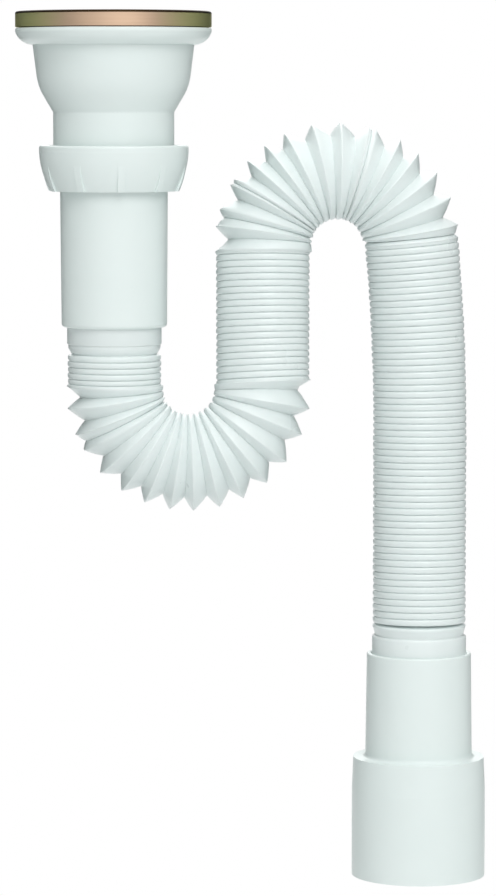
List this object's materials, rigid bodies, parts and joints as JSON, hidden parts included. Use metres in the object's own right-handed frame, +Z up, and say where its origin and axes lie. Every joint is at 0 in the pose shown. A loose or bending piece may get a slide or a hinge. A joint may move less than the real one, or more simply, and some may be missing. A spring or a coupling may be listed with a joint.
{
  "type": "waste trap",
  "caption": "Sink waste trap with a strainer outlet, union nut, bellows hose bent into an S that holds the water seal, and a stepped end coupling for a waste pipe.",
  "frame": {"origin": "centre of the outlet flange's top face, where the sink is clamped", "axes": "+Z up along the outlet's axis, +X towards the end coupling in the plane of the hose's bends"},
  "size_m": [0.175, 0.0726, 0.3228],
  "materials": {
    "moulded_white": "satin gloss",
    "blown_white": "satin gloss",
    "strainer_metal": "polished",
    "screw_steel": "bright",
    "nut_brass": "turned",
    "gasket_rubber": "matte"
  },
  "bodies": {
    "outlet": {"outlet_body": "moulded_white", "strainer": "strainer_metal", "clamp_screw": "screw_steel", "captive_nut": "nut_brass", "upper_gasket": "gasket_rubber", "lower_gasket": "gasket_rubber"},
    "gasket": {"neck_gasket": "gasket_rubber"},
    "nut": {"union_nut": "moulded_white"},
    "hose": {"tailpiece": "moulded_white", "corrugated_hose": "blown_white"},
    "coupling": {"end_coupling": "moulded_white"}
  },
  "joints": [
    {"name": "nut_travel", "type": "slide", "parent": "outlet", "child": "gasket", "axis": [0, 0, -1], "range_m": [0, 0.00865]},
    {"name": "nut_turn", "type": "hinge", "parent": "gasket", "child": "nut", "pos_m": [0, 0, -0.052], "axis": [0, 0, -1], "range_deg": [0, 1350]},
    {"name": "hose_swivel", "type": "hinge", "parent": "gasket", "child": "hose", "pos_m": [0, 0, -0.056], "axis": [0, 0, 1], "continuous": true},
    {"name": "hose_stretch", "type": "slide", "parent": "hose", "child": "coupling", "axis": [0, 0, -1], "range_m": [0, 0.23], "deforming": ["corrugated_hose"]}
  ],
  "couplings": [
    {"joint": "nut_turn", "follows": "nut_travel", "rad_per_m": 2721.2}
  ]
}
